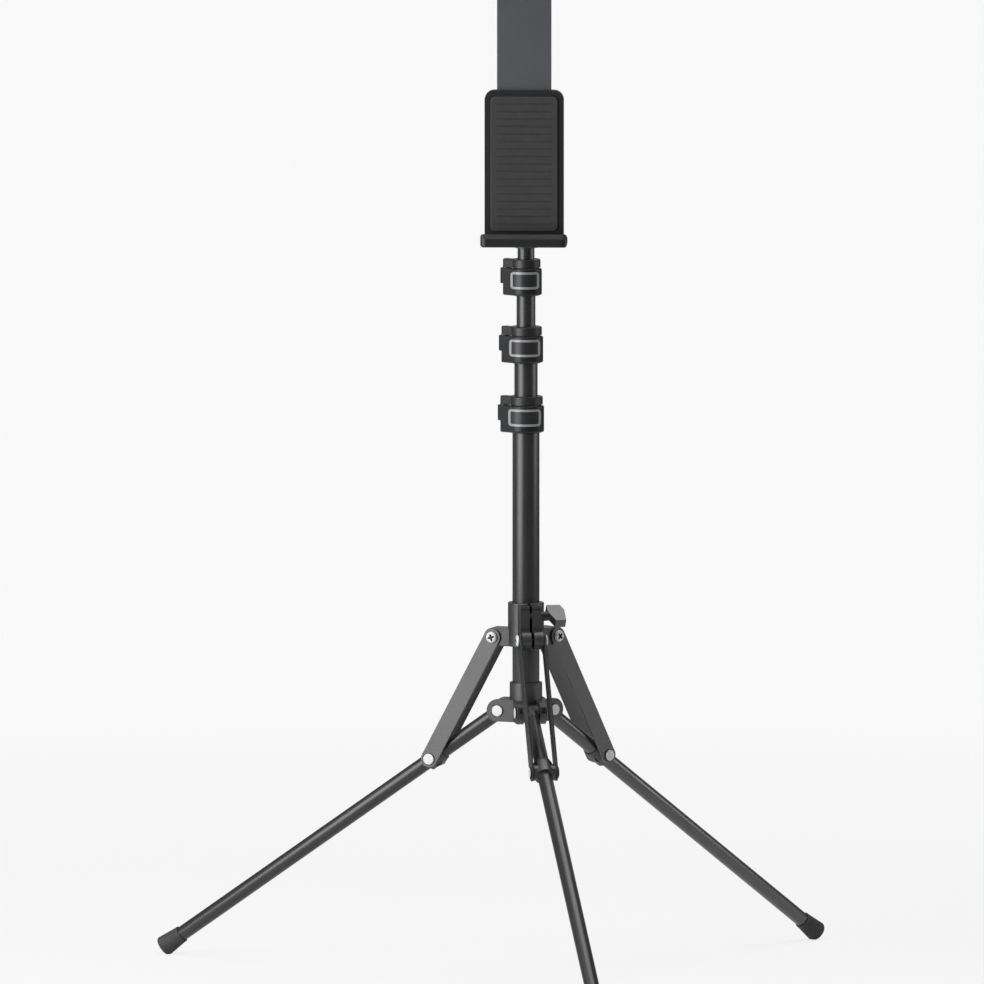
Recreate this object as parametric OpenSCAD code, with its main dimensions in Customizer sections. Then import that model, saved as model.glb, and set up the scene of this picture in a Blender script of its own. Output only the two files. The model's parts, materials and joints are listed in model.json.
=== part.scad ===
// Adjustable tablet floor stand: three folding legs with braces, a mast of four tubes with flip locks,
// a tilting head and a clamp holder. Millimetres, +Z up. The origin is on the column axis at the floor,
// and the holder faces -Y. Leg 1 is the front one, 2 the right and 3 the left.

/* [Legs] */
// Turn of the three legs about the column, degrees
leg_turn = 12.1; // [0:0.1:60]
// Slope of the spread legs below the horizontal, degrees
leg_spread = 35.1; // [30:0.1:42]
// Length from a leg's hinge to the end of its foot
leg_len = 360; // [280:1:450]
// Outside diameter of a leg tube
leg_od = 12; // [10:0.5:15]
// Wall of a leg tube
leg_wall = 1; // [0.6:0.1:2]
// Distance from the hinge to the upper end of the leg tube
leg_start = 9; // [8:0.5:14]
// Depth of the knuckle's plug in the leg tube
plug_len = 18; // [10:1:30]
// Length of a foot
foot_len = 20; // [16:1:32]
// Diameter of a foot at its neck
foot_neck_d = 14; // [13.5:0.5:18]
// Diameter of a foot at its end
foot_d = 17; // [16:0.5:24]
// Thickness of rubber under the end of the leg tube
foot_sole = 6; // [3:0.5:10]
// Edge radius at the end of a foot
foot_round = 2; // [1:0.25:3]
// Depth of the flat that a foot stands on
foot_flat = 0.8; // [0.4:0.1:1.5]

/* [Braces] */
// Distance along a leg from its hinge to the brace pivot
brace_at = 73; // [60:0.1:85]
// Length of a brace between its two pivots
brace_len = 115.3; // [105:0.1:130]
// Width of a brace bar
bar_w = 14; // [12:0.5:18]
// Thickness of a brace bar
bar_t = 1.5; // [1:0.1:3]
// How far the leg bracket stands out beside the leg tube
bracket_side = 2.9; // [2.4:0.1:5]
// Radius of the leg bracket's boss at the pivot
bracket_boss_r = 6.5; // [5.5:0.25:7]
// Wall of the leg bracket's sleeve
bracket_wall = 2.3; // [1.5:0.1:2.8]
// Length of the leg bracket's sleeve
bracket_len = 16; // [14:1:26]
// Depth of the keel under the leg bracket
keel_h = 3.1; // [2.5:0.1:6]

/* [Hub] */
// Diameter of the hub's sleeve
hub_d = 26.5; // [25:0.5:32]
// Height of the hub above the leg hinges
hub_above = 23.3; // [16:0.1:32]
// Thickness of the hub's floor under the main tube
hub_floor = 4; // [2:0.5:4]
// Thickness of each ear
ear_t = 5.5; // [4:0.25:8]
// Radius of the ears round the hinges
ear_r = 9; // [8:0.25:12]
// Width of the pocket in the end of each ear
pocket_w = 3; // [2:0.1:3.4]
// Height of the pocket in the end of each ear
pocket_h = 4.6; // [3:0.1:6]
// Depth of the pocket in the end of each ear
pocket_in = 2.2; // [1:0.1:3]
// Diameter of the rivets
rivet_d = 5; // [4:0.25:6]
// Diameter of a rivet's head
rivet_head_d = 9.5; // [8:0.25:12]
// Height of a rivet's head
rivet_head_h = 1.4; // [1:0.1:2.5]

/* [Collar] */
// Diameter of the sliding collar
collar_d = 29.3; // [28:0.1:36]
// Height of the collar
collar_h = 36; // [32:0.5:48]
// Distance of the brace pivots from the collar's face
lug_reach = 11; // [10:0.25:16]
// Radius of the lugs round the brace pivots
lug_r = 7.2; // [6:0.1:8]
// How far the front clamp block stands out of the collar
clamp_out = 8.4; // [7:0.1:10]
// Width of the clamp's slit
slit_w = 2.4; // [1:0.1:3]
// Diameter of the clamp bolt
clamp_bolt_d = 5; // [4:0.25:5.5]
// Drop of the clamp bolt below the collar's top
clamp_bolt_drop = 10; // [7:0.5:11]
// Diameter of a brace screw
screw_d = 4; // [3:0.25:4.5]
// Diameter of a brace screw's head
screw_head_d = 9.2; // [7:0.1:12]
// Height of a brace screw's head
screw_head_h = 2.2; // [1.8:0.1:3.5]
// Length of the knob's paddle along its bolt
knob_len = 14; // [12:0.5:24]
// Width of the knob's paddle
knob_w = 18; // [12:0.5:22]
// Thickness of the knob's paddle
knob_t = 8; // [6:0.5:12]
// Lean of the paddle's face above the horizontal, degrees
knob_lean = 52; // [0:1:90]

/* [Column] */
// Outside diameter of the main tube
main_od = 22; // [20:0.5:23]
// Wall of the mast tubes
tube_wall = 0.7; // [0.5:0.1:1]
// Length of the main tube
main_len = 250; // [220:1:320]
// Gap all round between the main tube and the second tube
step_2 = 0.8; // [0.1:0.1:1.2]
// Gap all round between the second tube and the third
step_3 = 1.1; // [0.1:0.1:1.4]
// Gap all round between the third tube and the top one
step_4 = 0.1; // [0.1:0.1:0.8]
// Length of the second tube that shows above its lock
show_2 = 26.9; // [2:0.1:150]
// Length of the third tube that shows above its lock
show_3 = 25.2; // [2:0.1:150]
// Length of the top tube that shows above its lock
show_4 = 9.2; // [2:0.1:150]
// Room left under a tube when it is pushed right in
tail_room = 9; // [3:0.5:30]
// Height of a bush below its tube
bush_h = 8; // [5:0.5:14]
// Depth of a bush in its tube
bush_stem = 12; // [6:0.5:20]
// Wall of a bush
bush_wall = 1.6; // [1:0.1:2.5]

/* [Flip locks] */
// Turn of the locks about the mast, degrees to the left
lock_turn = 40; // [0:1:60]
// Height of a lock
lock_h = 29.8; // [28:0.1:36]
// Depth of the outer tube in its lock
lock_seat = 18; // [12:0.5:20]
// Wall of the first lock's ring
lock_wall_1 = 2.7; // [2.6:0.1:5]
// Wall of the second lock's ring
lock_wall_2 = 3.4; // [2.6:0.1:5]
// Wall of the third lock's ring
lock_wall_3 = 4.1; // [2.6:0.1:5]
// Height of a lever's face
lever_h = 22; // [19:0.5:24]
// Thickness of a lever
lever_t = 2.5; // [2:0.1:3]
// How far a lever stands out past the ring above it
lever_proud = 1.7; // [1.5:0.1:3]
// Where a lever's free end stops, degrees past the right side
lever_end = 24; // [-10:1:30]
// Radius of a lever's cam
cam_r = 5; // [5:0.1:7]
// Height of a lever's cam
cam_h = 12.3; // [9:0.1:12.5]
// Diameter of a lever's pin
pin_d = 3; // [2:0.25:4]
// Width of the slit in a lock's ring
ring_slit = 1.2; // [0.8:0.1:2]
// Height of the bright frame on a lever
frame_h = 13.9; // [10:0.1:16]
// Turn of the bright frame on its lever, degrees to the right
frame_turn = 40; // [10:1:50]
// Reach of the bright frame to the left, as a share of the lever's radius
frame_left = 0.92; // [0.7:0.01:0.98]
// Reach of the bright frame to the right, as a share of the lever's radius
frame_right = 0.81; // [0.6:0.01:0.95]
// Width of the bright frame's line
frame_line = 1.9; // [1:0.1:2.5]
// Corner radius of the bright frame
frame_round = 2.6; // [2.5:0.1:4]
// How far the bright frame stands out of the lever
frame_proud = 0.35; // [0.2:0.05:0.6]

/* [Head] */
// Diameter of the head's socket
head_d = 19; // [17:0.5:26]
// Depth of the top tube in the head
head_seat = 22; // [14:0.5:26]
// Height of the head's socket
head_h = 30; // [29:0.5:36]
// Height of the tilt axis above the foot of the head
tilt_up = 52; // [50:0.5:70]
// Width of the tilt arm between the fork's ears
arm_w = 9.8; // [8:0.2:14]
// Thickness of the fork's ears
fork_t = 5; // [3.5:0.25:7]
// Radius of the fork's ears and of the arm's knuckle
fork_r = 10; // [8:0.25:11]
// Diameter of the tilt bolt
tilt_bolt_d = 6; // [4:0.25:8]
// Diameter of the tilt knob
tilt_knob_d = 18; // [14:0.5:28]
// Length of the tilt knob
tilt_knob_h = 11; // [8:0.5:18]
// Distance from the tilt axis to the holder's swivel face
arm_out = 40; // [36:0.5:60]
// Height of the arm's bar
arm_h = 14; // [8:0.5:18]
// Diameter of the swivel flange
swivel_d = 32; // [28:0.5:44]
// Thickness of the swivel flange
swivel_t = 4; // [3:0.5:6]
// Diameter of the swivel spigot
spigot_d = 14; // [10:0.5:18]
// Thickness of the swivel nut
swivel_nut_t = 2; // [1.4:0.1:2.4]

/* [Holder] */
// Width of the holder's shells
shell_w = 64; // [56:1:80]
// Height of the holder's shells
shell_h = 126; // [110:1:140]
// Corner radius of the shells
shell_round = 8; // [3:0.5:12]
// Thickness of the back shell
back_t = 4; // [3.6:0.1:6]
// Thickness of the front shell
front_t = 6; // [5.5:0.1:9]
// Height of the boss behind the back shell
boss_h = 5.7; // [4:0.1:9]
// Distance from the bottom of the lower jaw to the swivel axis
jaw_drop = 45.2; // [38:0.1:60]
// Width of the jaws
jaw_w = 70; // [60:1:90]
// Thickness of a jaw under its pad
jaw_t = 7; // [5:0.25:10]
// Depth of the space for the tablet, from the back pad to the lip
grip_depth = 11.5; // [8:0.25:18]
// Thickness of a jaw's lip
lip_t = 5.5; // [4.5:0.25:8]
// Height of a jaw's lip above its seat
lip_h = 3.5; // [2:0.25:8]
// Thickness of the rubber pads
pad_t = 1.5; // [0.8:0.1:2]
// Distance between the jaws' pads
jaw_gap = 215; // [200:1:225]
// Width of the sliding plate
slide_w = 44; // [30:1:46]
// Thickness of the sliding plate
slide_t = 2.9; // [2:0.1:3.2]
// Length of the sliding plate inside the shells
slide_in = 31; // [20:1:40]
// Diameter of the thumb screw's stem
thumb_d = 5; // [4:0.25:7]
// Diameter of the thumb screw's head
thumb_head_d = 16; // [12:0.5:22]
// Length of the thumb screw's head
thumb_head_h = 10; // [7:0.5:16]

/* [Clearances] */
// Gap all round a fixed piece in its seat
fit_clear = 0.05; // [0.02:0.01:0.08]
// Gap all round a turning pin or a sliding tube
run_clear = 0.08; // [0.05:0.01:0.1]
// Gap beside a moving flat face
side_clear = 0.35; // [0.3:0.05:0.5]
// Gap round a moving curved face
swing_clear = 0.55; // [0.4:0.05:0.8]

/* [Hidden] */
$fn = 64;
front_leg = 1;
leg_count = 3;
head_rim = 0.5;                     // share of a rivet or screw head's height that is straight
cut_over = 1;                       // how far a cutting tool runs past the face that it cuts
end_ease = 0.4;                     // how much larger an ear's end radius is than half its height
end_spare = 0.5;                    // extra length that the round end trims off

// Legs, braces and hub
leg_r = leg_od / 2;
leg_bore = leg_od - 2 * leg_wall;
knuckle_rim = 0.5;
knuckle_r = leg_r + knuckle_rim;
hinge_r = hub_d / 2 + swing_clear + knuckle_r;
hinge_z = (leg_len - foot_round) * sin(leg_spread) + (foot_d / 2 - foot_round) * cos(leg_spread)
    + foot_round - foot_flat;
ear_gap = leg_od + 2 * side_clear + 2 * fit_clear;
knuckle_w = ear_gap - 2 * side_clear;
ear_out = ear_gap / 2 + ear_t;
fork_half = leg_r + bracket_side;   // half the width of the leg brackets and collar lugs, inside the bars
bar_in = fork_half + side_clear;
bar_out = bar_in + bar_t;
brace_r = collar_d / 2 + lug_reach;
foot_pivot_r = hinge_r + brace_at * cos(leg_spread);
foot_pivot_z = hinge_z - brace_at * sin(leg_spread);
pivot_z = foot_pivot_z + sqrt(brace_len ^ 2 - (foot_pivot_r - brace_r) ^ 2);
brace_slope = atan2(pivot_z - foot_pivot_z, foot_pivot_r - brace_r);
hub_z = hinge_z - ear_r;
ear_reach = hinge_r + ear_r + end_ease + end_spare;
pocket_up = 0.4;                    // from the hinge up to the foot of an ear's pocket

// Collar
collar_z = pivot_z - lug_r;
lug_end = brace_r + lug_r + end_ease + end_spare;
clamp_x = collar_d / 2 + clamp_out;
clamp_bolt_x = clamp_x - clamp_bolt_d;
clamp_bolt_z = collar_z + collar_h - clamp_bolt_drop;
clamp_groove = 1;
clamp_groove_drop = 4.5;
screw_grip = 6.3;
head_gap = 0.15;                    // gap under a screw's head that a bar turns against
recess_w = 1.2;
recess_l = 5;
recess_z = bar_out + head_gap + screw_head_h / 2;
knob_neck_len = 5;
knob_neck_d = clamp_bolt_d + 3;
knob_root_d = knob_t - 1;
knob_y = fork_half + side_clear + knob_neck_len;
knob_cut = 5.6;

// Mast: outside radii of the four tubes, locks and heights
tube_r_1 = main_od / 2;
tube_r_2 = tube_r_1 - tube_wall - step_2;
tube_r_3 = tube_r_2 - tube_wall - step_3;
tube_r_4 = tube_r_3 - tube_wall - step_4;
tube_r = [tube_r_1, tube_r_2, tube_r_3, tube_r_4];
lock_wall = [lock_wall_1, lock_wall_2, lock_wall_3];
main_z = hub_z + hub_floor;
lock_z_1 = main_z + main_len - lock_seat;
lock_z_2 = lock_z_1 + lock_h + show_2;
lock_z_3 = lock_z_2 + lock_h + show_3;
lock_z = [lock_z_1, lock_z_2, lock_z_3];
head_z = lock_z_3 + lock_h + show_4;
tube_end_2 = main_z + bush_h + tail_room + show_2;
tube_end_3 = tube_end_2 + bush_stem + bush_h + tail_room + show_3;
tube_end_4 = tube_end_3 + bush_stem + bush_h + tail_room + show_4;
tube_end = [main_z, tube_end_2, tube_end_3, tube_end_4];
tube_top = [main_z + main_len, lock_z_2 + lock_seat, lock_z_3 + lock_seat, head_z + head_seat];

// Flip locks, from the bottom of a lock
lever_z = 0.6;
lever_gap = 0.4;
cam_set_back = 0.9;
cam_gap = 0.7;
plate_from_pin = 2;
frame_gap = 0.03;
frame_drop = 2.7;                    // from the lever's top to the frame's
frame_z = lever_z + lever_h - frame_drop - frame_h / 2;
lock_step = lever_z + lever_h + lever_gap;
cam_z = lock_step - lever_gap - lever_gap - cam_h;
lock_ear_r = cam_r + cam_set_back - lever_t - lever_gap - 2 * fit_clear;
pin_inset = 0.3;
function ring_r(k) = tube_r[k - 1] + lock_wall[k - 1];
function lever_r(k) = ring_r(k) + lever_proud;
function neck_r(k) = lever_r(k) - lever_t - lever_gap;
function pin_y(k) = -(lever_r(k) - cam_r - cam_set_back);
function pin_x(k) = -sqrt((neck_r(k) + cam_r + cam_gap) ^ 2 - pin_y(k) ^ 2);
function plate_x(k) = pin_x(k) + plate_from_pin;

// Head and holder
tilt_z = head_z + tilt_up;
fork_gap = arm_w + 2 * side_clear;
fork_out = fork_gap / 2 + fork_t;
fork_foot = 4;
fork_half_y = 8;
nut_r = 10;
nut_bore_d = 10;
knob_edge = 1;
spigot_len = boss_h + back_t - swivel_nut_t - side_clear;
jaw_z = tilt_z - jaw_drop;
boss_y = -arm_out - side_clear;     // back face of the holder's swivel boss
back_y = boss_y - boss_h;           // back face of the back shell
split_y = back_y - back_t;          // where the two shells meet
rest_y = split_y - front_t;         // front face of the front shell
pad_y = rest_y - pad_t;
lip_y = pad_y - grip_depth;
jaw_y = lip_y - lip_t;
shell_mid_z = jaw_z + shell_h / 2;
slide_y = split_y - side_clear;
slide_room = side_clear;
seat_z = jaw_z + jaw_t;
top_seat_z = seat_z + jaw_gap + 2 * pad_t;
slide_z = jaw_z + shell_h - slide_in;
lip_chamfer = 2.7;
lip_foot = 1;
pad_inset = 2;
pad_from_jaw = 5;
thumb_drop = 12;
thumb_boss_h = 4;
thumb_boss_wall = 4.5;

// Where each leg's pieces stand
function leg_azimuth(i) = -90 + leg_turn + 360 / leg_count * (i - 1);

module on_side(i) {
    rotate([0, 0, leg_azimuth(i)]) children();
}

module on_leg(i) {
    on_side(i) translate([hinge_r, 0, hinge_z]) rotate([0, leg_spread, 0]) children();
}

module on_brace(i) {
    on_side(i) translate([brace_r, 0, pivot_z]) rotate([0, brace_slope, 0]) children();
}

// Shared shapes
module along_x() {
    rotate([0, 90, 0]) children();
}

module along_y(side = 1) {
    rotate([-90 * side, 0, 0]) children();
}

module upright_plate(t) {
    rotate([90, 0, 0]) linear_extrude(height = t, center = true) children();
}

module pipe(r_out, r_in, h) {
    difference() {
        cylinder(r = r_out, h = h);
        translate([0, 0, -cut_over]) cylinder(r = r_in, h = h + 2 * cut_over);
    }
}

module rounded_rect(w, h, r) {
    square([w - 2 * r, h], center = true);
    square([w, h - 2 * r], center = true);
    for (sx = [-1, 1], sy = [-1, 1]) translate([sx * (w / 2 - r), sy * (h / 2 - r)]) circle(r = r);
}

module button_head(d, h) {
    rim = h * head_rim;
    crown_r = d / 2 - (h - rim);
    rotate_extrude() polygon([[0, 0], [d / 2, 0], [d / 2, rim], [crown_r, h], [0, h]]);
}

module drum(d, h, edge) {
    r = d / 2;
    rotate_extrude() polygon([[0, 0], [r - edge, 0], [r, edge], [r, h - edge], [r - edge, h], [0, h]]);
}

// What is cut off the end of a lug to round it about its pivot, from half the lug's height and width
module end_trim(half_h, half_w) {
    end_r = half_h + end_ease;
    wide = half_w + cut_over;
    difference() {
        translate([0, -wide, -half_h - cut_over])
            cube([end_r + end_spare + cut_over, 2 * wide, 2 * (half_h + cut_over)]);
        translate([0, -wide - cut_over, 0]) along_y() cylinder(r = end_r, h = 2 * (wide + cut_over));
    }
}

// Column root
module leg_hub() color("#232427") difference() {
    union() {
        translate([0, 0, hub_z]) cylinder(d = hub_d, h = ear_r + hub_above);
        translate([0, 0, hub_z]) linear_extrude(height = 2 * ear_r) for (i = [1 : leg_count], s = [-1, 1]) {
            on_side(i) translate([0, s * (ear_gap + ear_t) / 2 - ear_t / 2]) square([ear_reach, ear_t]);
        }
    }
    for (i = [1 : leg_count]) on_side(i) translate([hinge_r, 0, hinge_z]) end_trim(ear_r, ear_out);
    translate([0, 0, main_z]) cylinder(r = tube_r_1 + fit_clear, h = main_len);
    for (i = [1 : leg_count]) {
        on_side(i) translate([hinge_r, -ear_out - cut_over, hinge_z]) along_y()
            cylinder(d = rivet_d + 2 * fit_clear, h = 2 * (ear_out + cut_over));
    }
    for (i = [1 : leg_count], s = [-1, 1]) on_side(i) {
        translate([hinge_r + ear_r - pocket_in, (s * (ear_gap + ear_t) - pocket_w) / 2, hinge_z + pocket_up])
            cube([pocket_in + end_ease + cut_over, pocket_w, pocket_h]);
    }
}

module hub_rivets() color("#d8d9da") for (i = [1 : leg_count]) {
    on_side(i) translate([hinge_r, 0, hinge_z]) {
        along_y() translate([0, 0, -ear_out]) cylinder(d = rivet_d, h = 2 * ear_out);
        for (s = [-1, 1]) along_y(s) translate([0, 0, ear_out]) button_head(rivet_head_d, rivet_head_h);
    }
}

// Legs
module leg_knuckle(i) color("#232427") on_leg(i) difference() {
    union() {
        along_y() translate([0, 0, -knuckle_w / 2]) cylinder(r = knuckle_r, h = knuckle_w);
        along_x() cylinder(r = leg_r, h = leg_start);
        along_x() cylinder(r = leg_bore / 2 - fit_clear, h = leg_start + plug_len);
    }
    along_y() translate([0, 0, -knuckle_w]) cylinder(d = rivet_d + 2 * run_clear, h = 2 * knuckle_w);
}

module leg_tube(i) color("#2b2c2f") on_leg(i) translate([leg_start, 0, 0]) along_x() {
    pipe(leg_r, leg_bore / 2, leg_len - foot_sole - leg_start);
}

module leg_foot(i) color("#2e2e30") difference() {
    on_leg(i) along_x() difference() {
        rotate_extrude() foot_profile();
        translate([0, 0, leg_start]) cylinder(r = leg_r + fit_clear, h = leg_len - foot_sole - leg_start);
    }
    translate([-leg_len * 2, -leg_len * 2, -leg_len]) cube([leg_len * 4, leg_len * 4, leg_len]);
}

module foot_profile() {
    top = leg_len - foot_len;
    neck = 2;
    polygon([[0, top], [foot_neck_d / 2, top], [foot_neck_d / 2, top + neck],
        [foot_d / 2, leg_len - foot_round], [foot_d / 2 - foot_round, leg_len], [0, leg_len]]);
    translate([foot_d / 2 - foot_round, leg_len - foot_round]) circle(r = foot_round);
}

module leg_bracket(i) color("#232427") on_leg(i) translate([brace_at, 0, 0]) difference() {
    sleeve_r = leg_r + bracket_wall;
    outer_end = 5;
    inner_end = outer_end - bracket_len;
    taper = 4;
    keel_lead = 7;
    union() {
        along_x() rotate_extrude() polygon([[0, inner_end], [sleeve_r - bracket_wall / 2, inner_end],
            [sleeve_r, inner_end + taper], [sleeve_r, outer_end], [0, outer_end]]);
        along_y() translate([0, 0, -fork_half]) cylinder(r = bracket_boss_r, h = 2 * fork_half);
        upright_plate(leg_od - taper) polygon([[inner_end, 0], [inner_end, -leg_r],
            [inner_end + keel_lead, -leg_r - keel_h], [0, -sleeve_r], [0, 0]]);
    }
    translate([-bracket_len, 0, 0]) along_x() cylinder(r = leg_r + fit_clear, h = 2 * bracket_len);
}

// Braces: side is 1 for the left bar and -1 for the right one, seen from outside
module brace_bar(i, side) color("#4a4b4e") on_brace(i) translate([0, -side * (bar_in + bar_t / 2), 0])
    upright_plate(bar_t) difference() {
        union() {
            translate([0, -bar_w / 2]) square([brace_len, bar_w]);
            circle(d = bar_w);
            translate([brace_len, 0]) circle(d = bar_w);
        }
        circle(d = screw_d + 2 * run_clear);
        translate([brace_len, 0]) circle(d = rivet_d + 2 * fit_clear);
    }

module brace_rivets(i) color("#d8d9da") on_brace(i) translate([brace_len, 0, 0])
    for (s = [-1, 1]) along_y(s) {
        translate([0, 0, bar_in]) cylinder(d = rivet_d, h = bar_t);
        translate([0, 0, bar_out]) button_head(rivet_head_d, rivet_head_h);
    }

// Collar
module collar() color("#232427") difference() {
    union() {
        translate([0, 0, collar_z]) cylinder(d = collar_d, h = collar_h);
        translate([0, 0, collar_z]) linear_extrude(height = 2 * lug_r) for (i = [1 : leg_count]) {
            on_side(i) translate([0, -fork_half]) square([lug_end, 2 * fork_half]);
        }
        translate([0, 0, collar_z]) linear_extrude(height = collar_h - clamp_groove) on_side(front_leg)
            translate([0, -fork_half]) square([clamp_x, 2 * fork_half]);
    }
    for (i = [1 : leg_count]) on_side(i) translate([brace_r, 0, pivot_z]) end_trim(lug_r, fork_half);
    translate([0, 0, collar_z - cut_over]) cylinder(r = tube_r_1 + run_clear, h = collar_h + 2 * cut_over);
    on_side(front_leg) collar_cuts();
    for (i = [1 : leg_count], s = [-1, 1]) {
        on_side(i) translate([brace_r, 0, pivot_z]) along_y(s) translate([0, 0, fork_half - screw_grip])
            cylinder(d = screw_d + 2 * fit_clear, h = screw_grip + cut_over);
    }
}

module collar_cuts() {
    translate([0, -slit_w / 2, collar_z - cut_over]) cube([lug_end, slit_w, collar_h + 2 * cut_over]);
    translate([clamp_bolt_x, slit_w / 2 - fork_half, clamp_bolt_z]) along_y()
        cylinder(d = clamp_bolt_d + 2 * run_clear, h = 2 * fork_half);
    translate([clamp_x - clamp_groove, -fork_half - cut_over, collar_z + collar_h - clamp_groove_drop])
        cube([lug_end, 2 * (fork_half + cut_over), clamp_groove]);
}

module collar_screws() color("#d8d9da") for (i = [1 : leg_count], s = [-1, 1]) {
    on_side(i) translate([brace_r, 0, pivot_z]) along_y(s) difference() {
        union() {
            translate([0, 0, fork_half - screw_grip])
                cylinder(d = screw_d, h = bar_out + head_gap - fork_half + screw_grip);
            translate([0, 0, bar_out + head_gap]) button_head(screw_head_d, screw_head_h);
        }
        for (turn = [0, 90]) {
            rotate([0, 0, turn]) translate([-recess_l / 2, -recess_w / 2, recess_z])
                cube([recess_l, recess_w, screw_head_h]);
        }
    }
}

module on_clamp_bolt() {
    on_side(front_leg) translate([clamp_bolt_x, 0, clamp_bolt_z]) children();
}

module collar_knob() color("#55565a") on_clamp_bolt() difference() {
    union() {
        rotate([0, 90 - knob_lean, 0]) rotate([0, 0, 90]) linear_extrude(height = knob_t, center = true)
            translate([knob_y, 0]) knob_outline();
        along_y() translate([0, 0, fork_half + side_clear])
            cylinder(d1 = knob_neck_d, d2 = knob_root_d, h = knob_y + knob_cut - fork_half - side_clear);
    }
    along_y() cylinder(d = clamp_bolt_d + 2 * fit_clear, h = knob_y + knob_len / 2);
}

module knob_outline() {
    half = knob_w / 2;
    polygon([[0, half], [knob_len - knob_cut / 2, half], [knob_len, half - knob_cut], [knob_len, -half],
        [knob_cut, -half], [0, -half + 2 * knob_cut]]);
}

module collar_bolt() color("#8d8f93") on_clamp_bolt() along_y() {
    start = slit_w - fork_half;
    translate([0, 0, start]) cylinder(d = clamp_bolt_d, h = knob_y + knob_len / 2 - start);
}

// Mast tubes and bushes
module mast_tube(k) color("#2b2c2f") translate([0, 0, tube_end[k - 1]]) {
    pipe(tube_r[k - 1], tube_r[k - 1] - tube_wall, tube_top[k - 1] - tube_end[k - 1]);
}

module bush(k) color("#c9c6bd") translate([0, 0, tube_end[k - 1]]) difference() {
    stem_r = tube_r[k - 1] - tube_wall - fit_clear;
    union() {
        translate([0, 0, -bush_h]) cylinder(r = tube_r[k - 2] - tube_wall - fit_clear, h = bush_h);
        cylinder(r = stem_r, h = bush_stem);
    }
    translate([0, 0, -bush_h - cut_over])
        cylinder(r = stem_r - bush_wall, h = bush_h + bush_stem + 2 * cut_over);
}

// Flip locks
module on_lock(k) {
    translate([0, 0, lock_z[k - 1]]) rotate([0, 0, -lock_turn]) children();
}

module lock_body(k) color("#232427") on_lock(k) difference() {
    union() {
        cylinder(r = neck_r(k), h = lock_h);
        translate([0, 0, lock_step]) cylinder(r = ring_r(k), h = lock_h - lock_step);
        linear_extrude(height = cam_z - lever_gap) lock_ear(k);
        translate([0, 0, lock_step]) linear_extrude(height = lock_h - lock_step) lock_ear(k);
    }
    translate([0, 0, -cut_over]) cylinder(r = tube_r[k - 1] + fit_clear, h = lock_seat + cut_over);
    translate([0, 0, -cut_over]) cylinder(r = tube_r[k] + run_clear, h = lock_h + 2 * cut_over);
    translate([pin_x(k), pin_y(k), -cut_over]) cylinder(d = pin_d + 2 * fit_clear, h = lock_h + 2 * cut_over);
    translate([-2 * ring_r(k), -ring_slit / 2, -cut_over])
        cube([2 * ring_r(k), ring_slit, lock_h + 2 * cut_over]);
}

module lock_ear(k) {
    translate([pin_x(k), pin_y(k)]) circle(r = lock_ear_r);
    translate([pin_x(k), pin_y(k) - lock_ear_r]) square([-pin_x(k) - tube_r[k - 1] / 2, 2 * lock_ear_r]);
}

module lock_pin(k) color("#8d8f93") on_lock(k) translate([pin_x(k), pin_y(k), pin_inset]) {
    cylinder(d = pin_d, h = lock_h - 2 * pin_inset);
}

module lock_lever(k) color("#1b1c1e") on_lock(k) difference() {
    union() {
        translate([0, 0, lever_z]) linear_extrude(height = lever_h)
            lever_band(k, lever_r(k) - lever_t, lever_r(k));
        translate([0, 0, cam_z]) linear_extrude(height = cam_h) {
            translate([pin_x(k), pin_y(k)]) circle(r = cam_r);
            translate([pin_x(k), -lever_r(k)]) square([plate_from_pin + lever_t, lever_t]);
        }
    }
    translate([pin_x(k), pin_y(k), 0]) cylinder(d = pin_d + 2 * run_clear, h = lock_h);
}

// Plan of a lever's wall between two radii: flat on the left, then round the ring to its right side
module lever_band(k, r_in, r_out) {
    reach = 2 * r_out;
    translate([plate_x(k), -r_out]) square([-plate_x(k), r_out - r_in]);
    difference() {
        intersection() {
            circle(r = r_out);
            polygon([[0, 0], [0, -reach], [reach, -reach], [reach * cos(lever_end), reach * sin(lever_end)]]);
        }
        circle(r = r_in);
    }
}

module lock_frame(k) color("#d8d9da") on_lock(k) intersection() {
    left = -frame_left * lever_r(k);
    right = frame_right * lever_r(k);
    width = right - left;
    linear_extrude(height = lock_h) lever_band(k, lever_r(k) + frame_gap, lever_r(k) + frame_proud);
    rotate([0, 0, frame_turn]) translate([(left + right) / 2, -lever_r(k), frame_z])
        upright_plate(2 * lever_r(k)) difference() {
            rounded_rect(width, frame_h, frame_round);
            rounded_rect(width - 2 * frame_line, frame_h - 2 * frame_line, frame_round - frame_line);
        }
}

// Tilting head
module head_base() color("#232427") translate([0, 0, head_z]) difference() {
    union() {
        cylinder(d = head_d, h = head_h);
        for (s = [-1, 1]) translate([s * (fork_gap + fork_t) / 2, 0, 0]) rotate([0, 0, 90]) {
            upright_plate(fork_t) fork_ear();
        }
    }
    translate([0, 0, -cut_over]) cylinder(r = tube_r_4 + fit_clear, h = head_seat + cut_over);
    translate([-head_d, 0, tilt_up]) along_x() cylinder(d = tilt_bolt_d + 2 * run_clear, h = 2 * head_d);
}

module fork_ear() {
    foot_z = head_h - fork_foot;
    translate([-fork_half_y, foot_z]) square([2 * fork_half_y, tilt_up - foot_z]);
    translate([0, tilt_up]) circle(r = fork_r);
}

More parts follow.
